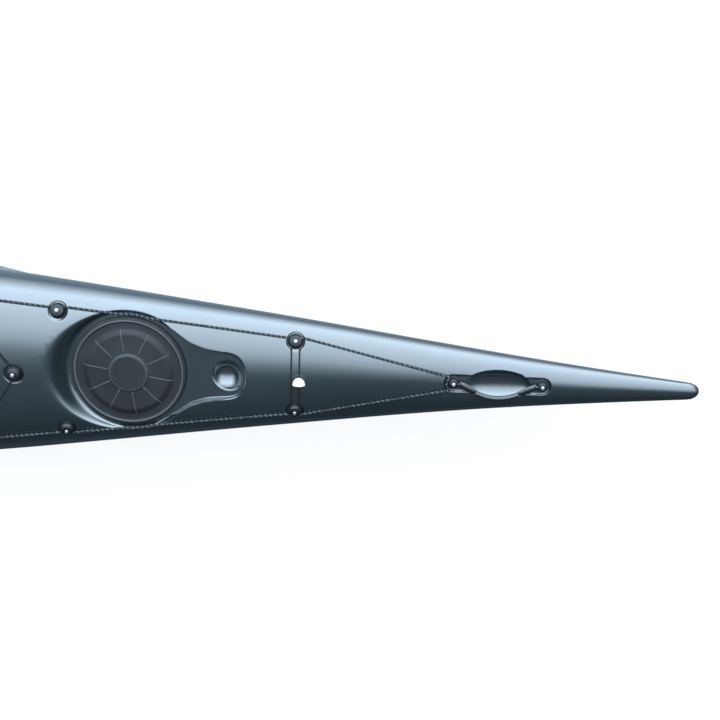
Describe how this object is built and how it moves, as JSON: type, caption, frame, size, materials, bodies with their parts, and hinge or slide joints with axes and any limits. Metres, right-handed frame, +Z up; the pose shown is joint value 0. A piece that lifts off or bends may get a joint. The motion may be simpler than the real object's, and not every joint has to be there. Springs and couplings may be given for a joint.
{
  "type": "sea kayak",
  "caption": "Sea kayak: a glossy moulded hull and deck with rubber hatch covers, deck lines, carry handles, a seated cockpit with footrests, and a drop skeg.",
  "frame": {"origin": "amidships on the centreline, on the flat of the keel", "axes": "+X towards the bow, +Y to port, +Z up"},
  "size_m": [5.1, 0.56, 0.3718],
  "materials": {
    "shell_plastic": "glossy moulded dark blue-grey",
    "black_plastic": "satin moulded",
    "black_rubber": "soft matt moulded",
    "grey_foam": "closed-cell foam sheet",
    "pad_fabric": "woven nylon over foam",
    "deck_line": "braided line, black with pale flecks",
    "shock_cord": "braided elastic cord",
    "white_plastic": "glossy moulded white",
    "screw_steel": "bright stainless"
  },
  "bodies": {
    "boat": {"bow_deck_line": "deck_line", "bow_handle_inner_cap": "black_plastic", "bow_handle_outer_cap": "black_plastic", "bow_port_fitting": "black_plastic", "bow_port_screw": "screw_steel", "bow_starboard_fitting": "black_plastic", "bow_starboard_screw": "screw_steel", "bungee_bead": "white_plastic", "cockpit_coaming": "black_plastic", "cockpit_port_fitting": "black_plastic", "cockpit_starboard_fitting": "black_plastic", "cross_bungee": "shock_cord", "day_bulkhead": "grey_foam", "day_hatch_rim": "black_plastic", "deck_shell": "shell_plastic", "foredeck_bungee": "shock_cord", "foredeck_centre_fitting": "black_plastic", "foredeck_centre_screw": "screw_steel", "foredeck_port_fitting": "black_plastic", "foredeck_starboard_fitting": "black_plastic", "front_bulkhead": "grey_foam", "front_hatch_rim": "black_plastic", "front_port_fitting": "black_plastic", "front_port_screw": "screw_steel", "front_starboard_fitting": "black_plastic", "front_starboard_screw": "screw_steel", "hull_shell": "shell_plastic", "left_foot_rail": "black_plastic", "left_seat_hanger": "black_plastic", "left_thigh_brace": "black_plastic", "rear_bulkhead": "grey_foam", "rear_hatch_rim": "black_plastic", "reardeck_bungee": "shock_cord", "reardeck_port_fitting": "black_plastic", "reardeck_starboard_fitting": "black_plastic", "right_foot_rail": "black_plastic", "right_seat_hanger": "black_plastic", "right_thigh_brace": "black_plastic", "seat_cushion": "pad_fabric", "seat_pan": "black_plastic", "skeg_box": "black_plastic", "skeg_cable": "black_plastic", "skeg_pin": "screw_steel", "slider_track": "black_plastic", "stern_deck_line": "deck_line", "stern_handle_inner_cap": "black_plastic", "stern_handle_outer_cap": "black_plastic", "stern_port_fitting": "black_plastic", "stern_starboard_fitting": "black_plastic"},
    "front_cover": {"front_hatch_cover": "black_rubber"},
    "day_cover": {"day_hatch_cover": "black_rubber"},
    "rear_cover": {"rear_hatch_cover": "black_rubber"},
    "bow_handle": {"bow_handle": "black_rubber"},
    "stern_handle": {"stern_handle": "black_rubber"},
    "skeg": {"skeg_blade": "black_plastic"},
    "slider": {"slider_knob": "black_plastic"},
    "left_pedal": {"left_foot_pedal": "black_plastic"},
    "right_pedal": {"right_foot_pedal": "black_plastic"},
    "backband": {"backband_pad": "pad_fabric", "backband_plate": "black_plastic"}
  },
  "joints": [
    {"name": "front_cover_lift", "type": "slide", "parent": "boat", "child": "front_cover", "axis": [0, 0, 1], "range_m": [0, 0.08]},
    {"name": "day_cover_lift", "type": "slide", "parent": "boat", "child": "day_cover", "axis": [0, 0, 1], "range_m": [0, 0.08]},
    {"name": "rear_cover_lift", "type": "slide", "parent": "boat", "child": "rear_cover", "axis": [0, 0, 1], "range_m": [0, 0.08]},
    {"name": "bow_handle_swing", "type": "hinge", "parent": "boat", "child": "bow_handle", "pos_m": [1.96195, 0, 0.32334], "axis": [-0.999, 0, -0.0444], "range_deg": [0, 180]},
    {"name": "stern_handle_swing", "type": "hinge", "parent": "boat", "child": "stern_handle", "pos_m": [-1.96196, 0, 0.3009], "axis": [-0.9993, 0, 0.0365], "range_deg": [0, 180]},
    {"name": "skeg_drop", "type": "hinge", "parent": "boat", "child": "skeg", "pos_m": [-1.7187, 0, 0.042], "axis": [0, -1, 0], "range_deg": [0, 50]},
    {"name": "skeg_slider", "type": "slide", "parent": "boat", "child": "slider", "axis": [-0.9984, 0, -0.0558], "range_m": [0, 0.06]},
    {"name": "left_pedal_slide", "type": "slide", "parent": "boat", "child": "left_pedal", "axis": [0.9981, -0.0613, 0], "range_m": [-0.15, 0.15]},
    {"name": "right_pedal_slide", "type": "slide", "parent": "boat", "child": "right_pedal", "axis": [0.9981, 0.0613, 0], "range_m": [-0.15, 0.15]},
    {"name": "backband_tilt", "type": "hinge", "parent": "boat", "child": "backband", "pos_m": [-0.398, 0, 0.112], "axis": [0, 1, 0], "range_deg": [-15, 10]}
  ],
  "couplings": [
    {"joint": "skeg_slider", "follows": "skeg_drop", "m_per_rad": 0.0687}
  ]
}
